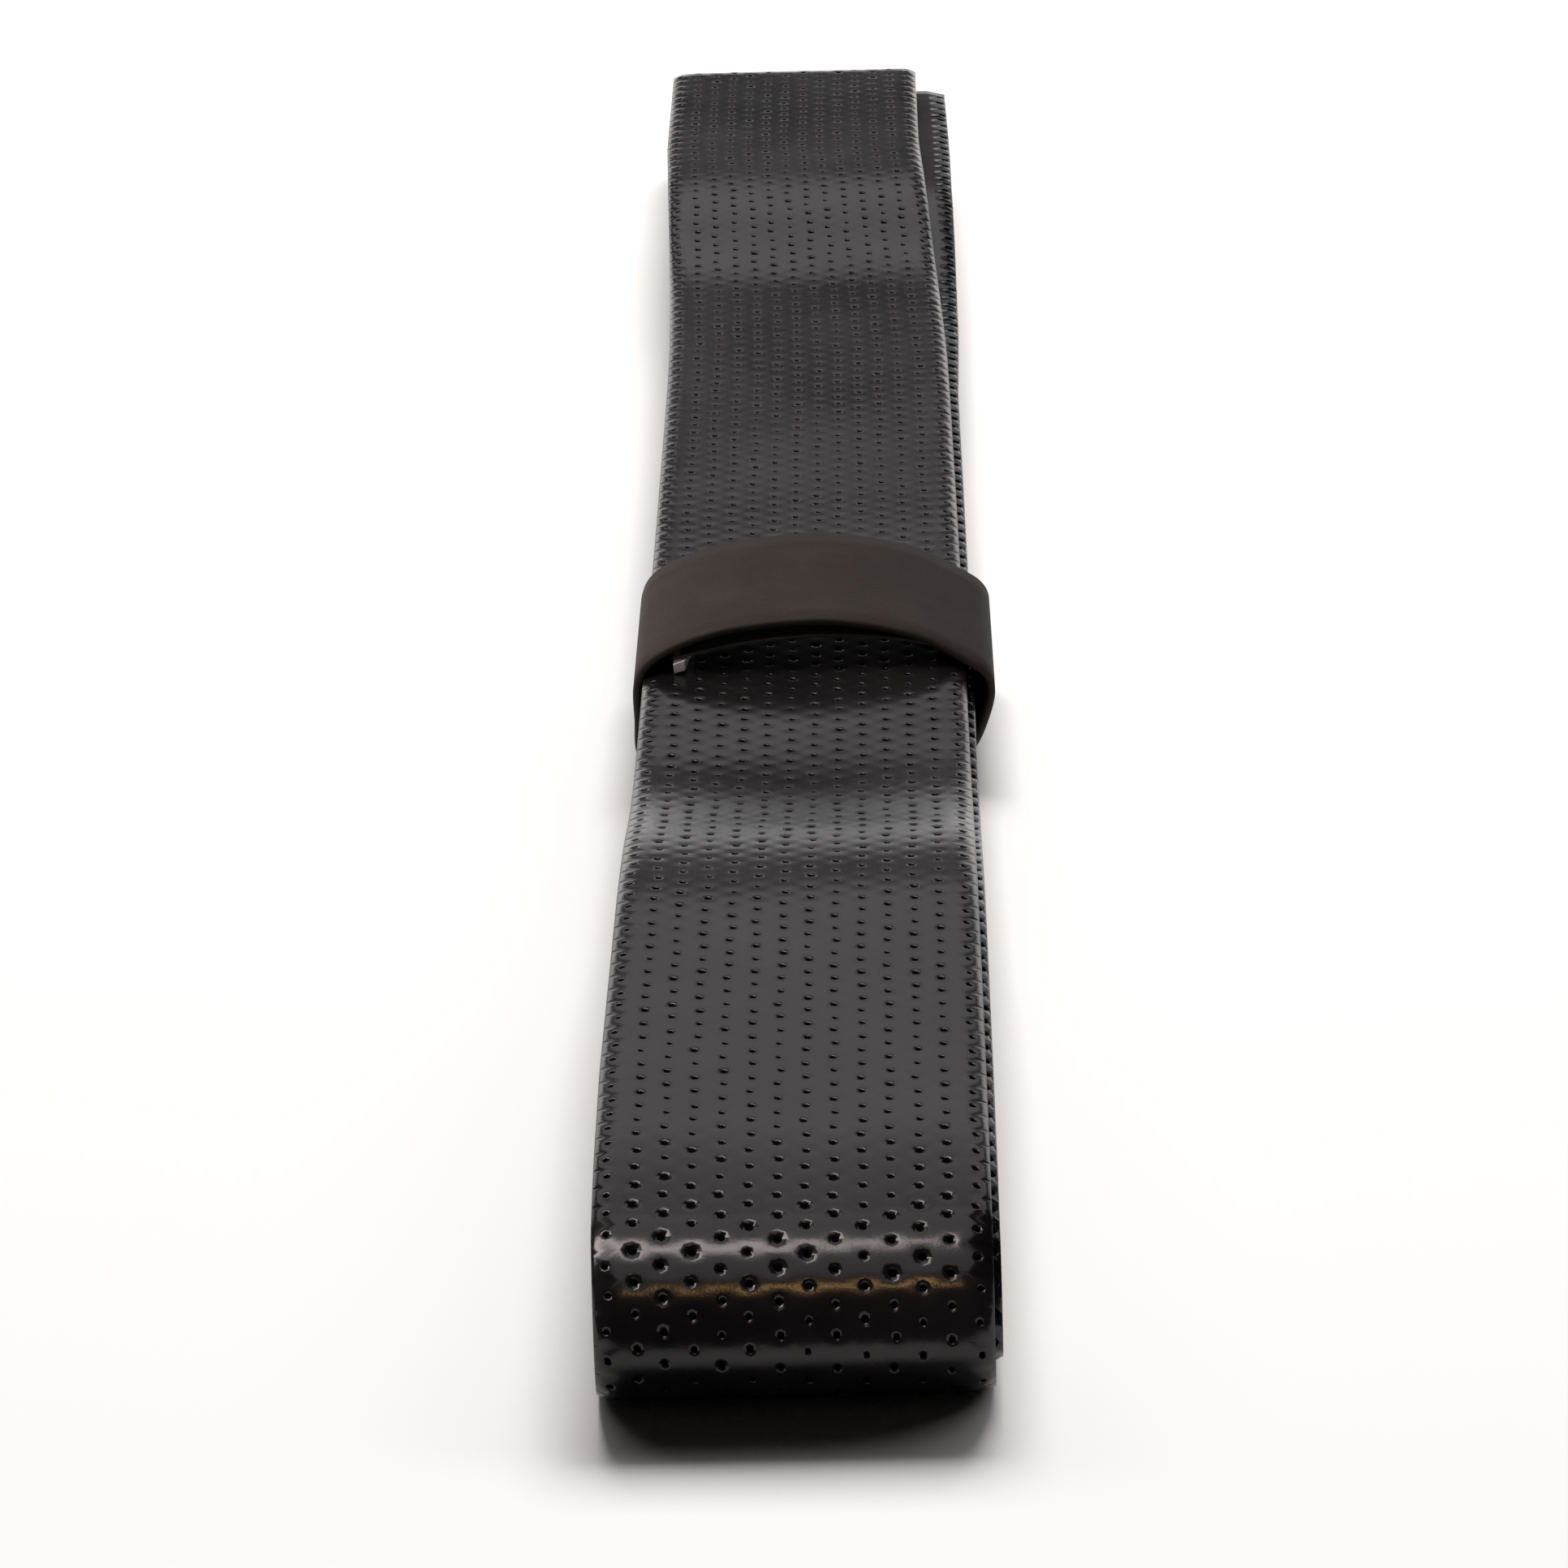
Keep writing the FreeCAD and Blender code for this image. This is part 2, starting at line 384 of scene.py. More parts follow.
def finishes() -> dict[Slot, bpy.types.Material]:
    """Mixes every finish.

    Returns:
        The materials, by the slot that each dresses.
    """
    film = ThinFilm("finishing_film", colour(0.02, 0.017, 0.015), colour(0.035, 0.03, 0.026), 0.45)
    liner = ThinFilm("finishing_liner", colour(0.86, 0.80, 0.78), colour(0.93, 0.89, 0.87), 0.5, 1.5)
    glue = ThinFilm("adhesive", colour(0.42, 0.38, 0.30), colour(0.55, 0.50, 0.41), 0.35)
    release = ThinFilm("release_film", colour(0.60, 0.60, 0.62), colour(0.72, 0.73, 0.75), 0.28, 6.0)
    return {
        Slot.SKIN: SatinSkin().material(),
        Slot.CUSHION: Foam().material(),
        Slot.ADHESIVE: glue.material(),
        Slot.RELEASE: release.material(),
        Slot.COLLAR: MattRubber().material(),
        Slot.FILM: film.material(),
        Slot.LINER: liner.material(),
    }


# ---------------------------------------------------------------- making pieces


def make_piece(
    name: str, points: np.ndarray, faces: list, materials: list, choice: list | None = None
) -> bpy.types.Object:
    """Makes a smooth-shaded mesh object.

    Args:
        name: the piece's name.
        points: its vertices, in millimetres.
        faces: its faces, as lists of vertex numbers.
        materials: its material slots.
        choice: each face's slot, or None for the first.

    Returns:
        The object, linked to the scene.
    """
    mesh = bpy.data.meshes.new(name)
    mesh.from_pydata((np.asarray(points) * MM).tolist(), [], faces)
    for material in materials:
        mesh.materials.append(material)
    mesh.polygons.foreach_set("use_smooth", [True] * len(mesh.polygons))
    if choice is not None:
        mesh.polygons.foreach_set("material_index", choice)
    mesh.validate()
    made = bpy.data.objects.new(name, mesh)
    bpy.context.scene.collection.objects.link(made)
    return made


def adopt(piece: bpy.types.Object, body: Body, slot: Slot, node: str) -> None:
    """Puts a piece on its body, in place of its CAD node.

    Args:
        piece: the visual piece.
        body: the rigid body that it rides on.
        slot: its material slot; not used.
        node: the CAD node that it stands for.
    """
    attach(piece, body.value)
    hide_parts(node)


def tube_faces(rows: int, ring: int) -> list[list[int]]:
    """The faces of a closed solid made of rings of points, capped at both ends.

    Args:
        rows: how many rings it has.
        ring: how many points each ring has.

    Returns:
        The faces, as lists of vertex numbers.
    """
    faces = []
    for row in range(rows - 1):
        for k in range(ring):
            a, b = row * ring + k, row * ring + (k + 1) % ring
            faces.append([a, b, b + ring, a + ring])
    faces.append(list(range(ring))[::-1])
    faces.append([(rows - 1) * ring + k for k in range(ring)])
    return faces


@dataclass(frozen=True)
class Drift:
    """How the wound tape strays to the side, in millimetres.

    The two turns lie a spread to either side of a shared middle line, which bows a little and
    sweeps off to the left at its far end. The tape's hidden start is further to the right.
    """

    centre: float = -0.4
    near_spread: tuple = ((-138.0, 0.24), (-40.0, 0.28))
    far_spread: float = 0.75
    far_from: float = 36.0
    far_run: float = 82.0
    crossing: float = 40.0
    bow: float = 0.26
    bow_middle: float = -22.0
    bow_run: float = 100.0
    sweep: float = 1.35
    sweep_from: float = 45.0
    sweep_run: float = 93.0
    start: tuple = ((0.0, 1.5), (35.0, 0.9), (75.0, 0.6), (92.0, 0.25), (180.0, 0.0))

    def at(self, s: np.ndarray, y: np.ndarray, far_fold: float) -> np.ndarray:
        """How far each place of the tape lies to the right.

        Args:
            s: distance along the tape.
            y: the same places' Y.
            far_fold: how far along the tape the fold between the two turns is.

        Returns:
            The offsets in X.
        """
        grow = np.clip((y - self.far_from) / self.far_run, 0.0, 1.0)
        spread = np.interp(y, *zip(*self.near_spread)) + self.far_spread * grow**2 * (3.0 - 2.0 * grow)
        side = np.clip((far_fold - s) / self.crossing, -1.0, 1.0)
        swept = np.clip((y - self.sweep_from) / self.sweep_run, 0.0, 1.0)
        bow = -self.bow * ((y - self.bow_middle) / self.bow_run) ** 2 - self.sweep * swept**1.5
        return self.centre + side * spread + bow + np.interp(s, *zip(*self.start))


@dataclass(frozen=True)
class Ripple:
    """Low waves across the tape's upper layers, in millimetres."""

    height: float = 0.035
    above: float = 1.0
    long: float = 17.0
    short: float = 6.1
    slant: float = 5.0

    def at(self, s: np.ndarray, x: np.ndarray, out: np.ndarray) -> np.ndarray:
        """The height of each point with the waves added.

        Args:
            s: distance along the tape.
            x: distance across it.
            out: height above its inner face; only what is higher than above is moved.

        Returns:
            The new heights.
        """
        wave = self.height * np.sin(s / self.long) * np.sin(s / self.short + x / self.slant)
        return out + np.where(out > self.above, wave, 0.0)


@dataclass
class Winding:
    """The line that the tape's inner face follows through its two flat turns, in millimetres.

    Places along it are measured on the tape's outer face, so that what is printed or punched
    there keeps its spacing round the folds. The near fold is three arcs: a wide shoulder, a brow
    and a tight turn at the floor. The tape is pinched towards its right edge at that fold.
    """

    half_length: float = 138.0
    half_width: float = 12.5
    tape: float = 1.8
    lift: float = 1.1
    core_gap: float = 0.1
    near_rise: float = 3.6
    near_level: float = 48.0
    near_run: float = 38.0
    far_rise: float = 2.4
    far_level: float = 34.0
    far_run: float = 34.0
    shoulder_radius: float = 60.0
    shoulder_turn: float = 10.0
    brow_turn: float = 66.0
    fold_radius: float = 0.4
    end_gap: float = 1.5
    pinch: tuple = ((-138.0, 0.022), (-132.0, 0.012), (-112.0, 0.0))
    drift: Drift = Drift()
    ripple: Ripple = Ripple()
    steps: list = field(default_factory=list)
    marks: dict = field(default_factory=dict)

    def __post_init__(self) -> None:
        """Lays out the winding as straights and arcs, each with its own start."""
        core = self.lift + 2 * self.tape
        brow_end = self.shoulder_turn + self.brow_turn
        tilts = [math.radians(t) for t in (0.0, self.shoulder_turn, brow_end, 180.0)]
        drops = [math.cos(a) - math.cos(b) for a, b in zip(tilts, tilts[1:])]
        height = self.near_rise + self.core_gap + self.lift
        brow = (height - self.shoulder_radius * drops[0] - self.fold_radius * drops[2]) / drops[1]
        shape = (self.shoulder_radius, brow, self.fold_radius)
        reach = sum(r * (math.sin(b) - math.sin(a)) for r, a, b in zip(shape, tilts, tilts[1:]))
        reach += self.fold_radius
        far_radius = (self.far_rise + self.core_gap + self.lift + self.tape) / 2
        near_nose = -self.half_length + 2 * self.tape + reach
        far_nose = self.half_length - self.tape - far_radius
        near_foot = -self.half_length + self.near_level + 2 * self.tape
        far_foot = self.half_length - self.far_level - 2 * self.tape
        near_flat, far_flat = near_foot + self.near_run, far_foot - self.far_run
        self.at = (far_nose - self.end_gap, core + self.core_gap + self.far_rise, math.pi)
        self.length = 0.0
        for turn in range(2):
            out = turn * self.tape
            self.straight_to(far_foot)
            self.slope(self.far_run, self.far_rise, 1, out)
            self.straight_to(near_flat)
            self.slope(self.near_run, self.near_rise, -1, out)
            self.straight_to(near_nose)
            self.marks[f"near_{turn}"] = self.length
            for radius, low, high in zip(shape, tilts, tilts[1:]):
                self.arc(radius + out, high - low)
            self.marks[f"under_{turn}"] = self.length
            self.straight_to(near_foot)
            self.slope(self.near_run, self.lift, 1, out)
            self.straight_to(far_flat)
            self.slope(self.far_run, self.lift, -1, out)
            if turn == 0:
                self.straight_to(far_nose)
                self.marks["far"] = self.length
                self.arc(far_radius, math.pi)
        self.straight_to(far_nose - self.end_gap)

    def add(self, size: float, radius: float, turn: float) -> None:
        """Adds a step and moves on to its end.

        Args:
            size: a straight's length.
            radius: an arc's radius, on the tape's inner face.
            turn: an arc's turn, or 0 for a straight.
        """
        outer = size if turn == 0 else abs(turn) * (radius + math.copysign(self.tape, turn))
        self.steps.append((self.length, outer, *self.at, size, radius, turn))
        self.length += outer
        y, z, heading = (float(v) for v in self.along(*self.at, size, radius, turn, 1.0))
        self.at = (y, z, heading)

    def straight_to(self, y: float) -> None:
        """A straight as far as y."""
        size = abs(y - self.at[0])
        if size > 1e-6:
            self.add(size, 0.0, 0.0)

    def arc(self, radius: float, turn: float) -> None:
        """An arc; a positive turn is to the left."""
        self.add(0.0, radius, turn)

    def slope(self, run: float, rise: float, side: int, out: float) -> None:
        """Adds a gentle S of two arcs.

        Args:
            run: its length.
            rise: how far it moves to its side.
            side: 1 if it bends to the left first, or -1.
            out: how far it lies outside the first turn's.
        """
        turn = 2 * math.atan2(rise, run)
        radius = run / 2 / math.sin(turn)
        self.arc(radius + side * out, side * turn)
        self.arc(radius - side * out, -side * turn)

    @staticmethod
    def along(
        y: Number, z: Number, heading: Number, size: Number, radius: Number, turn: Number, share: Number
    ) -> tuple[np.ndarray, np.ndarray, Number]:
        """The place part of the way along a step.

        Args:
            y: the step's start.
            z: its start.
            heading: its heading there.
            size: a straight's length.
            radius: an arc's radius.
            turn: an arc's turn, or 0 for a straight.
            share: how much of the step is done.

        Returns:
            The Y, the Z and the heading there.
        """
        side = np.sign(turn)
        after = heading + turn * share
        bent_y = y - side * radius * np.sin(heading) + side * radius * np.sin(after)
        bent_z = z + side * radius * np.cos(heading) - side * radius * np.cos(after)
        straight = side == 0
        run = size * share
        return (
            np.where(straight, y + run * np.cos(heading), bent_y),
            np.where(straight, z + run * np.sin(heading), bent_z),
            after,
        )

    def place(self, s: np.ndarray, x: np.ndarray, out: np.ndarray) -> np.ndarray:
        """Puts points of the tape where the winding takes them.

        Args:
            s: distance along the tape's outer face.
            x: distance across the tape.
            out: height above the tape's inner face.

        Returns:
            One row of X, Y and Z for each point.
        """
        table = np.array(self.steps)
        s = np.clip(np.asarray(s, float), 0.0, self.length - 1e-6)
        pick = np.searchsorted(table[:, 0], s, side="right") - 1
        row = table[pick]
        share = (s - row[:, 0]) / row[:, 1]
        y, z, heading = self.along(*row[:, 2:].T, share)
        x = x + np.interp(y, *zip(*self.pinch)) * (self.half_width - x)
        high = self.ripple.at(s, x, out)
        shift = self.drift.at(s, y, self.marks["far"])
        return np.stack([x + shift, y + high * np.sin(heading), z - high * np.cos(heading)], axis=1)


def bridge(frame: list, ring: list, frame_turn: list, ring_turn: list) -> list[list[int]]:
    """Joins a cell's border to the ring inside it.

    Args:
        frame: the border's vertex numbers, anticlockwise.
        ring: the ring's vertex numbers, anticlockwise.
        frame_turn: the border points' angles, rising.
        ring_turn: the ring points' angles, rising.

    Returns:
        The triangles between them.
    """
    faces = []
    i = j = 0
    while i < len(frame) or j < len(ring):
        next_frame = frame_turn[i + 1] if i + 1 < len(frame) else frame_turn[0] + 2 * math.pi
        next_ring = ring_turn[j + 1] if j + 1 < len(ring) else ring_turn[0] + 2 * math.pi
        a, b = frame[i % len(frame)], ring[j % len(ring)]
        if j >= len(ring) or (i < len(frame) and next_frame <= next_ring):
            faces.append([a, frame[(i + 1) % len(frame)], b])
            i += 1
        else:
            faces.append([a, ring[(j + 1) % len(ring)], b])
            j += 1
    return faces


@dataclass(frozen=True)
class Perforation:
    """A needle-punched hole in its dimple, in millimetres at size 1.

    The rim and slope are limited so that they stay in the hole's own cell.
    """

    radius: float = 0.20
    dimple: float = 0.055
    depth: float = 0.40
    rim: float = 2.25
    rim_limit: float = 0.76
    slope: float = 1.90
    slope_limit: float = 0.66
    slope_drop: float = 0.12
    mouth: float = 1.10
    foot: float = 0.80
    bore_growth: float = 0.6
    spread: float = 0.17
    smallest: float = 0.68
    largest: float = 1.4
    edge_limit: float = 0.95
    limit: float = 1.8
    stray_along: float = 0.07
    stray_across: float = 0.06

    def size(self, rng: np.random.Generator, stretch: float, at_edge: bool) -> float:
        """Draws a hole's size.

        Args:
            rng: the source of chance.
            stretch: how much wider the fold pulls the holes there.
            at_edge: whether it is in an edge column, where it has less room.

        Returns:
            The size, about 1.
        """
        size = float(np.clip(rng.normal(1.0, self.spread), self.smallest, self.largest)) * stretch
        return min(size, self.edge_limit if at_edge else self.limit)

    def rings(self, size: float) -> list[tuple[float, float]]:
        """The hole's rings from its rim inwards.

        Args:
            size: the hole's size.

        Returns:
            Each ring's radius and its height over the face.
        """
        reach, bore = self.radius * size, self.radius * size**self.bore_growth
        return [
            (min(self.rim * reach, self.rim_limit), 0.0),
            (min(self.slope * reach, self.slope_limit), -self.slope_drop * self.dimple * size),
            (self.mouth * bore, -self.dimple * size),
            (self.foot * bore, -self.depth),
        ]


@dataclass
class SkinSheet:
    """The skin laid out flat: cells in staggered columns, punched where the roll shows them."""

    winding: Winding
    width: float
    top: float
    bottom: float
    columns: int = 14
    pitch: float = 2.08
    row_tilt: float = 0.05
    edge_roll: float = 0.42
    edge_roll_width: float = 1.6
    seed: int = 7
    hole: Perforation = Perforation()
    stretch: tuple = ((1.0, 1.0), (12.0, 1.62), (17.5, 1.30), (21.0, 1.0))
    shown_before_fold: float = 2.0
    hidden_under: float = 20.0
    fine_before_nose: float = 120.0
    strip_past_fold: float = 4.0
    strip_shift: float = 0.32
    along: list = field(default_factory=list)
    across: list = field(default_factory=list)
    out: list = field(default_factory=list)
    faces: list = field(default_factory=list)
    dark: list = field(default_factory=list)

    def __post_init__(self) -> None:
        """Starts the source of chance and the spacing of the cells."""
        self.rng = np.random.default_rng(self.seed)
        self.half_rows = 2 * int(self.winding.length / self.pitch)
        self.step = self.winding.length / self.half_rows
        self.lines = np.linspace(-self.width / 2, self.width / 2, self.columns + 1)
        self.first_low = 0

    def point(self, s: float, x: float, out: float) -> int:
        """Adds a point.

        Args:
            s: its distance along the tape.
            x: its distance across the tape.
            out: its height in the tape.

        Returns:
            Its number.
        """
        self.along.append(s)
        self.across.append(x)
        self.out.append(out)
        return len(self.along) - 1

    def face(self, corners: list[int], dark: bool = False) -> None:
        """Adds a face; a dark face is a hole's inner wall or floor, given the painted shade."""
        self.faces.append(corners)
        self.dark.append(int(dark))

    def grid(self, i: int, j: int) -> int:
        """The number of the point on line i across and half row j."""
        return i * (self.half_rows + 1) + j

    def low(self, side: int, j: int) -> int:
        """The number of the lower edge's point at half row j, on the left (0) or right (1)."""
        return self.grid(side, j) + self.first_low

    def half_cells(self, i: int) -> None:
        """Fills the half cells at both ends of column i."""
        for j in (0, self.half_rows - 1):
            self.face([self.grid(i, j), self.grid(i, j + 1), self.grid(i + 1, j + 1), self.grid(i + 1, j)])

    def cell(self, i: int, j: int) -> None:
        """Makes the cell of column i that starts at half row j: plain, or with its hole.

        Args:
            i: its column.
            j: its first half row.
        """
        right = [self.grid(i + 1, j + 1), self.grid(i + 1, j + 2)]
        frame = [*right, self.grid(i, j + 2), self.grid(i, j + 1), self.grid(i, j), self.grid(i + 1, j)]
        middle = (j + 1) * self.step
        marks = self.winding.marks
        strip = i == self.columns - 1 and middle < marks["under_0"] + self.strip_past_fold
        if middle < marks["far"] - self.shown_before_fold and not strip:
            self.face(frame[::-1])
            return
        hidden = middle > marks["under_1"] + self.hidden_under or strip
        coarse = hidden or middle < marks["near_1"] - self.fine_before_nose
        stretch = float(np.interp(middle - marks["near_1"], *zip(*self.stretch)))
        size = self.hole.size(self.rng, stretch, i in (0, self.columns - 1))
        s = middle + self.rng.normal(0.0, self.hole.stray_along)
        x = (self.lines[i] + self.lines[i + 1]) / 2 + self.rng.normal(0.0, self.hole.stray_across)
        x += self.strip_shift if strip else 0.0
        rings = self.hole.rings(size)
        self.punch(frame, (s, x), rings[::3] if hidden else rings, 6 if coarse else 8)

    def punch(self, frame: list[int], centre: tuple[float, float], rings: list, sides: int) -> None:
        """Makes a cell's face round its hole, and the hole.

        Args:
            frame: the numbers of the cell's six border points, anticlockwise.
            centre: the hole's place along and across the tape.
            rings: the radius and height of each of its rings.
            sides: how many sides the rings have.
        """
        turns = [2 * math.pi * k / sides for k in range(sides)]
        corner = math.atan2(self.step, self.width / self.columns / 2)
        frame_turn = [0.0, corner, math.pi - corner, math.pi, math.pi + corner, 2 * math.pi - corner]
        s, x = centre
        numbers = [
            [self.point(s + radius * math.sin(t), x + radius * math.cos(t), self.top + high) for t in turns]
            for radius, high in rings
        ]
        for joined in bridge(frame, numbers[0], frame_turn, turns):
            self.face(joined[::-1])
        for upper, lower in zip(numbers, numbers[1:]):
            for k in range(sides):
                n = (k + 1) % sides
                # the innermost band and the floor of each hole are dark faces, given the painted hole shade
                self.face([upper[k], lower[k], lower[n], upper[n]], lower is numbers[-1])
        self.face(numbers[-1][::-1], True)

    def close(self) -> None:
        """Adds the skin's lower face, its two long edges and its two ends."""
        self.first_low = len(self.along)
        for i in (0, self.columns):
            for j in range(self.half_rows + 1):
                self.point(j * self.step, self.lines[i], self.bottom)
        grid, low, right, last = self.grid, self.low, self.columns, self.half_rows
        for j in range(last):
            self.face([grid(0, j), low(0, j), low(0, j + 1), grid(0, j + 1)])
            self.face([grid(right, j + 1), low(1, j + 1), low(1, j), grid(right, j)])
            self.face([low(0, j), low(1, j), low(1, j + 1), low(0, j + 1)])
        self.face([grid(i, 0) for i in range(right + 1)] + [low(1, 0), low(0, 0)])
        self.face([grid(i, last) for i in range(right, -1, -1)] + [low(0, last), low(1, last)])

    def build(self, face: bpy.types.Material, hole: bpy.types.Material) -> bpy.types.Object:
        """Lays the skin out and winds it up.

        Args:
            face: the skin's finish.
            hole: the painted shade inside a perforation.

        Returns:
            The piece.
        """
        for line in self.lines:
            for j in range(self.half_rows + 1):
                self.point(j * self.step, line, self.top)
        for i in range(self.columns):
            if i % 2:
                self.half_cells(i)
            for j in range(i % 2, self.half_rows - 1, 2):
                self.cell(i, j)
        self.close()
        s, x, out = np.array(self.along), np.array(self.across), np.array(self.out)
        past = np.abs(x) - self.width / 2 + self.edge_roll_width
        rolled = np.clip(past / self.edge_roll_width, 0.0, 1.0)
        out = np.where(out > self.bottom, out - self.edge_roll * rolled**2, out)
        points = self.winding.place(s + self.row_tilt * x, x, out)
        return make_piece("perforated_skin", points, self.faces, [face, hole], self.dark)


@dataclass
class GripTape:
    """The wound tape: a perforated skin on a foam cushion, with an adhesive strip and its film."""

    winding: Winding
    width: float = 25.0
    film: float = 0.15
    adhesive: float = 0.30
    cushion: float = 1.30
    cushion_inset: float = 0.05
    adhesive_width: float = 21.0
    film_width: float = 23.0
    soft_edge: float = 0.12

    def layer(
        self, name: str, low: float, high: float, width: float, material: bpy.types.Material
    ) -> bpy.types.Object:
        """One plain layer as a closed solid along the whole winding, with a row to each millimetre.

        Args:
            name: the piece's name.
            low: its lower face's height in the tape.
            high: its upper face's height.
            width: its width.
            material: its finish.

        Returns:
            The piece.
        """
        half, soft = width / 2, min(self.soft_edge, (high - low) / 4)
        outline = [
            (-half, low + soft), (-half + soft, low), (half - soft, low), (half, low + soft),
            (half, high - soft), (half - soft, high), (-half + soft, high), (-half, high - soft),
        ]  # fmt: skip
        rows = int(self.winding.length)
        s = np.repeat(np.linspace(0.0, self.winding.length, rows), len(outline))
        x = np.tile([p[0] for p in outline], rows)
        out = np.tile([p[1] for p in outline], rows)
        points = self.winding.place(s, x, out)
        return make_piece(name, points, tube_faces(rows, len(outline)), [material])

    def build(self, dress: dict[Slot, bpy.types.Material]) -> None:
        """Builds and dresses the tape's four layers.

        Args:
            dress: the finishes.
        """
        sheet = SkinSheet(self.winding, self.width, self.winding.tape, self.cushion)
        skin = sheet.build(dress[Slot.SKIN], PerforationPaintedShade().material())
        cushion_width = self.width - 2 * self.cushion_inset
        cushion = self.layer("foam_cushion", self.adhesive, self.cushion, cushion_width, dress[Slot.CUSHION])
        glue = self.layer(
            "adhesive_layer", self.film, self.adhesive, self.adhesive_width, dress[Slot.ADHESIVE]
        )
        film = self.layer("release_sheet", 0.0, self.film, self.film_width, dress[Slot.RELEASE])
        adopt(skin, Body.ROLL, Slot.SKIN, "grip_skin")
        adopt(cushion, Body.ROLL, Slot.CUSHION, "grip_cushion")
        adopt(glue, Body.ROLL, Slot.ADHESIVE, "adhesive_strip")
        adopt(film, Body.ROLL, Slot.RELEASE, "release_film")
        flat = (self.width * MM, self.winding.length * MM)


@dataclass
class RubberCollar:
    """The wide rubber band: snug on the left, bulging on the right and arched over the top.

    Its crown sags by crown_sag in the middle of its width, and by far_sag at its far edge.
    """

    wall: float = 0.6
    soft_edge: float = 0.16
    crown_sag: float = 0.16
    far_sag: float = 0.10
    crown_from: float = 9.0
    crown_rise: float = 3.2
    waver: float = 0.12
    waver_run: float = 4.0
    facets: int = 8
    outline: tuple = (
        (1.5, 12.2), (-4.5, 12.0), (-8.7, 11.2), (-12.2, 9.6),
        (-13.6, 7.6), (-13.7, 4.5), (-13.6, 1.7), (-12.1, 0.4),
        (0.0, 0.3), (10.9, 0.42), (11.95, 1.3), (12.9, 3.0),
        (13.75, 5.9), (13.3, 7.7), (11.2, 9.15), (7.6, 11.0),
    )  # fmt: skip

    def wall_line(self, count: int = 144) -> tuple[np.ndarray, np.ndarray]:
        """The middle of the rubber as a smooth closed line, and the way out of it.

        Args:
            count: how many points to give.

        Returns:
            The points and their outward normals, each a row of X and Z.
        """
        knots = np.array(self.outline)
        place = np.arange(count) * len(knots) / count
        base = place.astype(int)
        t = (place - base)[:, None]
        before, here, then, after = (knots[(base + k) % len(knots)] for k in (-1, 0, 1, 2))
        line = 0.5 * (
            2 * here + (then - before) * t + (2 * before - 5 * here + 4 * then - after) * t**2
            + (3 * here - before - 3 * then + after) * t**3
        )  # fmt: skip
        way = np.roll(line, -1, axis=0) - np.roll(line, 1, axis=0)
        way /= np.linalg.norm(way, axis=1)[:, None]
        return line, np.stack([way[:, 1], -way[:, 0]], axis=1)

    def section(self, start: float, end: float) -> list[tuple[float, float]]:
        """The band's cut face, with softened corners.

        Args:
            start: the band's near edge.
            end: its far edge.

        Returns:
            Each corner's Y and its height over the middle of the rubber.
        """
        half, soft = self.wall / 2, self.soft_edge
        corners = [
            (start + soft, half), (start, half - soft), (start, soft - half), (start + soft, -half),
            (end - soft, -half), (end, soft - half), (end, half - soft), (end - soft, half),
        ]  # fmt: skip
        steps = range(self.facets - 1, 0, -1)
        return corners + [(start + (end - start) * k / self.facets, half) for k in steps]

    def build(self, dress: dict[Slot, bpy.types.Material]) -> None:
        """Builds the band as one closed ring.

        Args:
            dress: the finishes.
        """
        low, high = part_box("rubber_collar")
        start, end = low[1] / MM, high[1] / MM
        line, way = self.wall_line()
        if np.sum(way * (line - line.mean(axis=0))) < 0:
            way = -way
        section = self.section(start, end)
        count, ring = len(line), len(section)
        crown = np.clip((line[:, 1] - self.crown_from) / self.crown_rise, 0.0, 1.0)
        points = np.zeros((count, ring, 3))
        for k, (y, out) in enumerate(section):
            share = (y - start) / (end - start)
            sag = self.crown_sag * math.sin(math.pi * share) + self.far_sag * share
            spot = line + way * out
            points[:, k, 0] = spot[:, 0]
            points[:, k, 1] = y + self.waver * np.sin(line[:, 0] / self.waver_run + 1.0)
            points[:, k, 2] = np.maximum(spot[:, 1] - sag * crown, 0.0)
        faces = []
        for j in range(count):
            for k in range(ring):
                here, there = j * ring, (j + 1) % count * ring
                n = (k + 1) % ring
                faces.append([here + k, here + n, there + n, there + k])
        piece = make_piece("rubber_band", points.reshape(-1, 3), faces, [dress[Slot.COLLAR]])
        adopt(piece, Body.COLLAR, Slot.COLLAR, "rubber_collar")


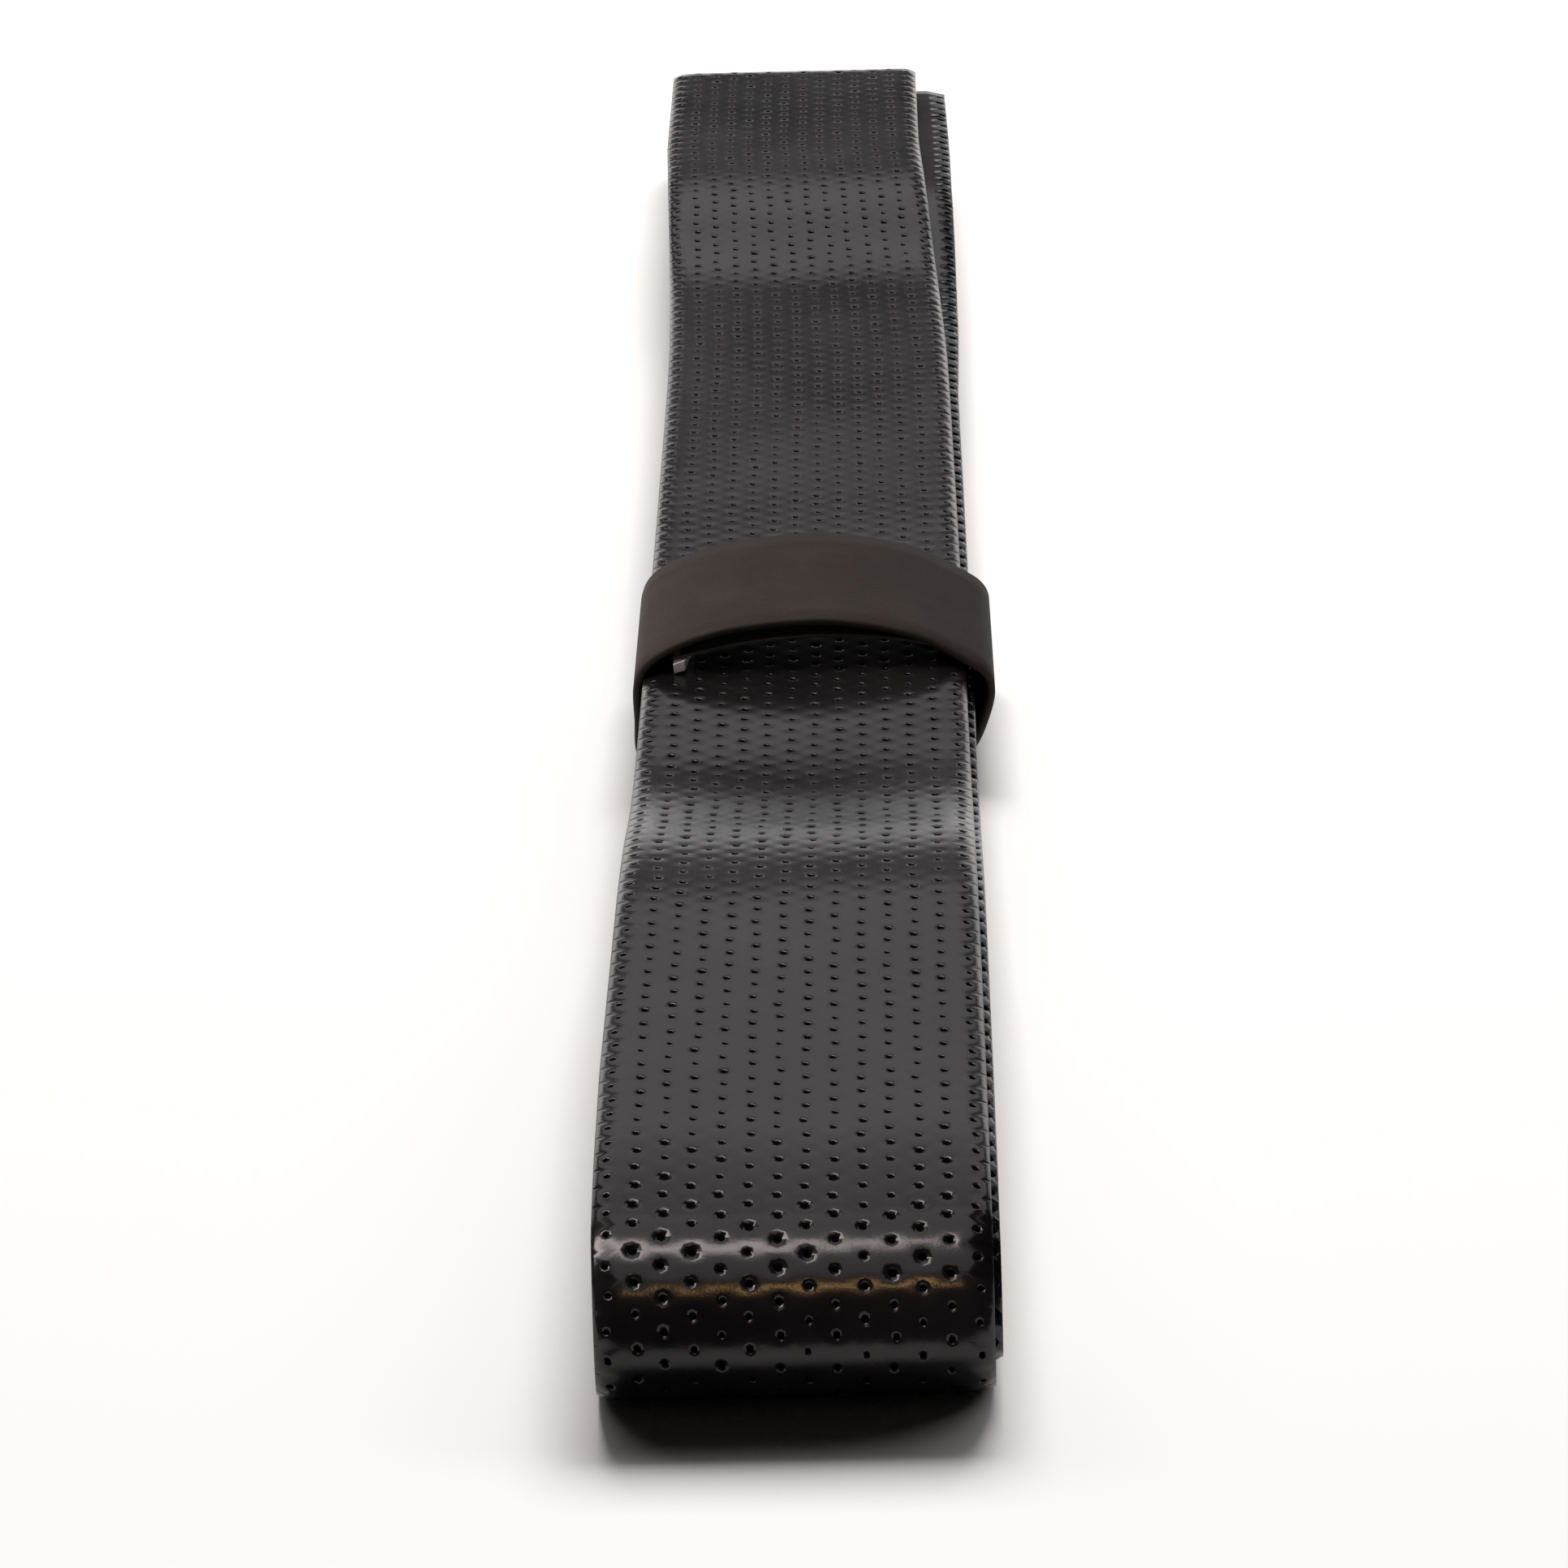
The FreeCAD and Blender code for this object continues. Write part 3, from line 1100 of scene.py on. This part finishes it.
@dataclass
class FinishingTape:
    """The short finishing tape curled under the arch, white liner down.

    The liner and the adhesive stop a recess short of the film's near edge, and the liner's left
    end turns out past them as a tab.
    """

    left: float = -10.0
    right: float = 9.6
    seat: float = 9.35
    crown: float = 1.35
    lean: float = 0.8
    tip_run: float = 1.6
    tip_drop: float = 0.05
    liner_top: float = 0.15
    glue_top: float = 0.30
    film_top: float = 0.50
    liner_spare: float = 0.75
    film_spare: float = 0.1
    recess: float = 0.95
    tab_from: float = 0.45
    tab_blend: float = 0.15
    tab_reach: float = 0.4
    tab_drop: float = 0.6
    waver: float = 0.15
    waver_run: float = 3.0

    def curl(self, x: np.ndarray) -> np.ndarray:
        """The height of the liner's lower face at x."""
        middle, half = (self.left + self.right) / 2 + self.lean, (self.right - self.left) / 2
        bow = 1.0 - ((x - middle) / (half + self.lean)) ** 2
        tip = np.clip((self.left + self.tip_run - x) / self.tip_run, 0.0, 2.0)
        return self.seat + self.crown * bow - self.tip_drop * tip**2

    def strip(
        self, name: str, low: float, high: float, spare: float, material: bpy.types.Material
    ) -> bpy.types.Object:
        """One layer of the curl.

        Args:
            name: the piece's name.
            low: its lower face above the liner's lower face.
            high: its upper face above the same.
            spare: how far it reaches past the adhesive at the left.
            material: its finish.

        Returns:
            The piece.
        """
        box_low, box_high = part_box("finishing_tape_film")
        start, end = box_low[1] / MM, box_high[1] / MM
        x = np.linspace(self.left - spare, self.right, 72)
        slope = np.gradient(self.curl(x), x)
        lean = np.stack([-slope, np.ones_like(slope)], axis=1) / np.sqrt(1 + slope**2)[:, None]
        tab = np.clip((self.left + self.tab_from - x) / self.tab_blend, 0.0, 1.0)
        tab = tab * (high == self.liner_top)
        back = self.recess * (1 - tab) * (high <= self.glue_top) - self.tab_reach * tab
        points = np.zeros((len(x), 4, 3))
        for k, (y, out) in enumerate([(start, low), (end, low), (end, high), (start, high)]):
            near = y == start
            points[:, k, 0] = x + lean[:, 0] * out
            points[:, k, 1] = y + self.waver * np.sin(x / self.waver_run) + near * back
            points[:, k, 2] = self.curl(x) + lean[:, 1] * out - near * (out == low) * self.tab_drop * tab
        piece = make_piece(name, points.reshape(-1, 3), tube_faces(len(x), 4), [material])
        piece.data.polygons.foreach_set("use_smooth", [False] * len(piece.data.polygons))
        return piece

    def build(self, dress: dict[Slot, bpy.types.Material]) -> None:
        """Builds and dresses the liner, the adhesive and the film.

        Args:
            dress: the finishes.
        """
        liner = self.strip("liner_strip", 0.0, self.liner_top, self.liner_spare, dress[Slot.LINER])
        glue = self.strip("glue_strip", self.liner_top, self.glue_top, 0.0, dress[Slot.ADHESIVE])
        film = self.strip("film_strip", self.glue_top, self.film_top, self.film_spare, dress[Slot.FILM])
        adopt(liner, Body.FINISHING, Slot.LINER, "finishing_tape_liner")
        adopt(glue, Body.FINISHING, Slot.ADHESIVE, "finishing_tape_adhesive")
        adopt(film, Body.FINISHING, Slot.FILM, "finishing_tape_film")


@dataclass(frozen=True)
class Panel:
    """A rectangular lamp: its name, place, target, width and height in metres, watts and tint."""

    name: str
    place: tuple
    target: tuple
    size: tuple
    power: float
    tint: tuple

    def hang(self, lit: list) -> None:
        """Hangs the lamp so that it lights only some objects.

        Args:
            lit: those objects.
        """
        data = bpy.data.lights.new(self.name, "AREA")
        data.shape = "RECTANGLE"
        data.size, data.size_y = self.size
        data.energy = self.power
        data.color = self.tint
        seat = bpy.data.objects.new(self.name, data)
        way = Vector(self.target) - Vector(self.place)
        rotation = way.to_track_quat("-Z", "Y").to_matrix().to_4x4()
        seat.matrix_world = Matrix.Translation(Vector(self.place)) @ rotation
        group = bpy.data.collections.new(f"{self.name}_lit")
        for thing in lit:
            group.objects.link(thing)
        seat.light_linking.receiver_collection = group
        bpy.context.scene.collection.objects.link(seat)


@dataclass
class Studio:
    """A white floor, soft light from behind and above, and the camera at the roll's near end.

    The camera's place is in millimetres, its angles are in degrees, and its turn is to the left.
    """

    eye: tuple = (6.71, -455.7, 171.6)
    down: float = 22.174
    turn: float = 1.251
    roll: float = 1.914
    lens: float = 134.65
    sensor: float = 36.0
    nearest: float = 0.01
    floor_half: float = 3.0
    air_tint: tuple = colour(1.0, 0.98, 0.97)
    air: float = 0.004
    floor_panels: tuple = (
        Panel("key_panel", (0.08, 1.44, 1.42), (0.0, 0.0, 0.0), (1.0, 0.66), 54.0, (1.0, 0.985, 0.965)),
        Panel("wide_panel", (0.30, 1.42, 1.52), (0.0, 0.0, 0.0), (5.5, 0.7), 38.0, (1.0, 0.97, 0.96)),
    )
    roll_panels: tuple = (
        Panel("horizon_panel", (0.0, 2.0, 0.17), (0.0, 0.0, 0.0), (3.0, 0.34), 3.2, (1.0, 0.985, 0.985)),
        Panel("back_panel", (0.0, 1.64, 1.15), (0.0, 0.0, 0.0), (3.0, 1.05), 7.2, (1.0, 0.97, 0.985)),
        Panel("upper_panel", (0.0, 0.62, 1.90), (0.0, 0.0, 0.0), (1.2, 1.5), 6.2, (1.0, 0.97, 0.985)),
        Panel("top_panel", (0.0, -0.65, 1.75), (0.0, -0.65, 0.0), (1.2, 0.84), 3.0, (1.0, 0.96, 0.98)),
        Panel(
            "warm_strip", (-0.006, -0.497, 0.49), (0.0, -0.137, 0.007), (0.02, 0.003), 0.1, (1.0, 0.6, 0.24)
        ),
        Panel(
            "left_card", (-0.55, 0.12, 0.85), (-0.0125, -0.136, 0.009), (0.22, 1.50), 11.5, (1.0, 0.88, 0.85)
        ),
    )

    def camera(self) -> None:
        """Places the camera."""
        down, turn, roll = (math.radians(v) for v in (self.down, self.turn, self.roll))
        right = Vector((math.cos(turn), math.sin(turn), 0.0))
        ahead = Vector((-math.sin(turn) * math.cos(down), math.cos(turn) * math.cos(down), -math.sin(down)))
        up = right.cross(ahead)
        across = right * math.cos(roll) - up * math.sin(roll)
        above = right * math.sin(roll) + up * math.cos(roll)
        data = bpy.data.cameras.new("camera")
        data.lens = self.lens
        data.sensor_width = self.sensor
        data.clip_start = self.nearest
        seat = bpy.data.objects.new("camera", data)
        rotation = Matrix((across, above, -ahead)).transposed().to_4x4()
        seat.matrix_world = Matrix.Translation(Vector(self.eye) * MM) @ rotation
        bpy.context.scene.collection.objects.link(seat)
        bpy.context.scene.camera = seat

    def floor(self) -> bpy.types.Object:
        """Lays the white floor.

        Returns:
            The floor.
        """
        half = self.floor_half / MM
        corners = np.array([(-half, -half, 0), (half, -half, 0), (half, half, 0), (-half, half, 0)])
        shader = Shader("studio_floor")
        paper = shader.surface(Base_Color=colour(0.92, 0.905, 0.90), Roughness=0.9, Specular_IOR_Level=0.1)
        floor = make_piece("floor", corners, [[0, 1, 2, 3]], [paper])
        floor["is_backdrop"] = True
        return floor

    def build(self, roll: list) -> None:
        """Sets the whole studio, with separate lamps for the floor and for the roll.

        Args:
            roll: the roll's pieces.
        """
        self.camera()
        floor = self.floor()
        for panel in self.roll_panels:
            panel.hang(roll)
        for panel in self.floor_panels:
            panel.hang([floor])
        world = bpy.data.worlds.new("studio_air")
        world.use_nodes = True
        background = world.node_tree.nodes["Background"]
        background.inputs["Color"].default_value = self.air_tint
        background.inputs["Strength"].default_value = self.air
        bpy.context.scene.world = world
        bpy.context.scene.view_settings.view_transform = "Standard"


def main() -> None:
    """Builds the roll, its collar, its finishing tape and the studio round them."""
    logging.basicConfig(level=logging.INFO, format="%(name)s: %(message)s")
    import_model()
    dress = finishes()
    GripTape(Winding()).build(dress)
    RubberCollar().build(dress)
    FinishingTape().build(dress)
    pieces = [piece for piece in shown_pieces() if piece.type == "MESH"]
    for piece in pieces:
        LOG.info("%s: %d faces", piece.name, len(piece.data.polygons))
    Studio().build(pieces)


if __name__ == "__main__":
    main()
